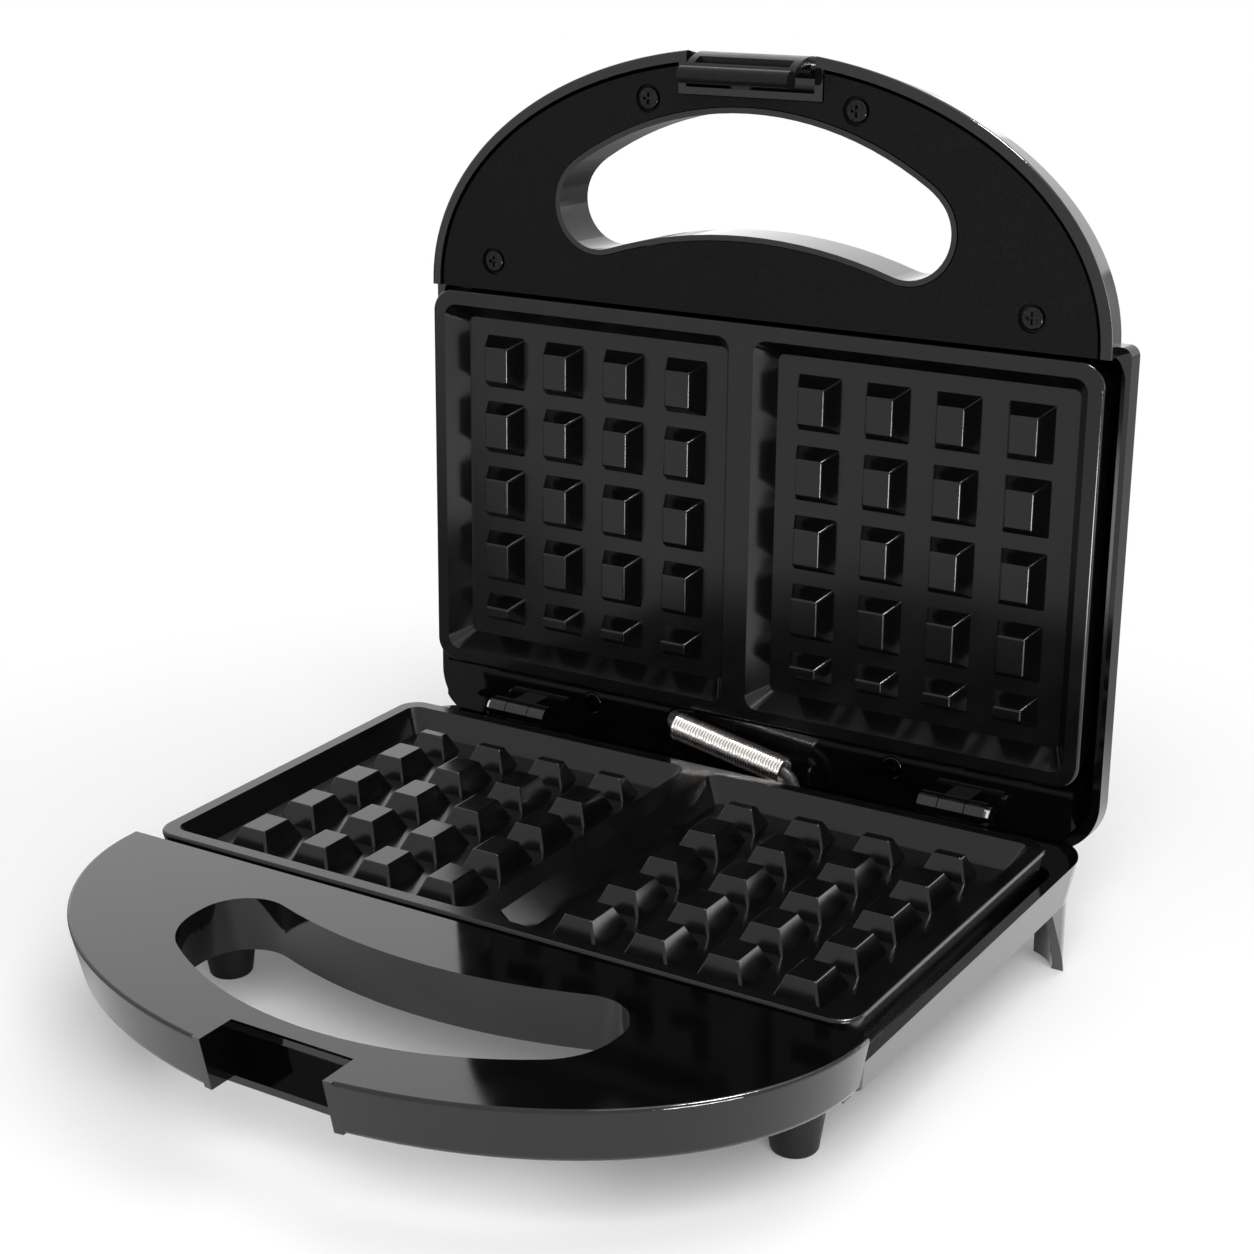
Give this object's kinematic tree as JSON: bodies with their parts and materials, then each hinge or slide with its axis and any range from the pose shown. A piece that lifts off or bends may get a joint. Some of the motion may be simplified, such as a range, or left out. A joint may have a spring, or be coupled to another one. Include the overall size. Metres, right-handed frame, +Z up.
{
  "type": "waffle maker",
  "caption": "Electric waffle maker standing open: studded non-stick plates in a black base and a hinged lid, with bow handles and a hooked latch.",
  "frame": {"origin": "on the table, under the middle of the open object's box", "axes": "+X to the right of a user in front, +Y to the back, +Z up"},
  "size_m": [0.2306, 0.2546, 0.2466],
  "materials": {
    "gloss_shell": "gloss black moulding",
    "satin_panel": "satin black moulding",
    "latch_plastic": "satin dark grey moulding",
    "nonstick": "black non-stick coat on a casting",
    "black_screw": "blackened steel",
    "steel": "zinc-plated",
    "element_steel": "dull steel sheath",
    "bright_sheet": "bright sheet",
    "spring_steel": "bright wire",
    "pin_chrome": "polished",
    "foot_rubber": "dark grey",
    "lead_sleeve": "heat-proof sleeve",
    "control_body": "pale ceramic",
    "block_plastic": "natural white",
    "lamp_glass": "clear",
    "red_lens": "clear red",
    "green_lens": "clear green"
  },
  "bodies": {
    "base": {"base_housing": "gloss_shell", "base_handle_cover": "satin_panel", "base_handle_screws": "black_screw", "base_bottom_cover": "satin_panel", "bottom_cover_screws": "steel", "front_feet": "foot_rubber", "lower_plate": "nonstick", "lower_plate_screws": "steel", "lower_heating_element": "element_steel", "lower_element_clips": "steel", "lower_reflector": "bright_sheet", "thermostat": "control_body", "thermal_fuse": "control_body", "fuse_strap": "steel", "terminal_block": "block_plastic", "cord_bush": "foot_rubber", "hinge_pins": "pin_chrome", "lid_lead": "lead_sleeve", "lead_spring": "spring_steel"},
    "lid": {"lid_housing": "gloss_shell", "lid_top_panel": "gloss_shell", "lid_handle_cover": "satin_panel", "handle_cover_screws": "black_screw", "lid_hinge_plate": "satin_panel", "hinge_plate_screws": "black_screw", "upper_plate": "nonstick", "upper_plate_screws": "steel", "upper_heating_element": "element_steel", "upper_element_clips": "steel", "upper_reflector": "bright_sheet", "lamp_holder": "block_plastic", "neon_lamps": "lamp_glass", "power_lamp_lens": "red_lens", "ready_lamp_lens": "green_lens", "latch_pin": "pin_chrome"},
    "latch": {"latch": "latch_plastic"}
  },
  "joints": [
    {"name": "lid_hinge", "type": "hinge", "parent": "base", "child": "lid", "pos_m": [0, 0.08617, 0.0405], "axis": [1, 0, 0], "range_deg": [0, 92.5], "deforming": ["lead_spring", "lid_lead"]},
    {"name": "latch_pivot", "type": "hinge", "parent": "lid", "child": "latch", "pos_m": [0, 0.10502, 0.24287], "axis": [1, 0, 0], "range_deg": [-30, 0]}
  ]
}
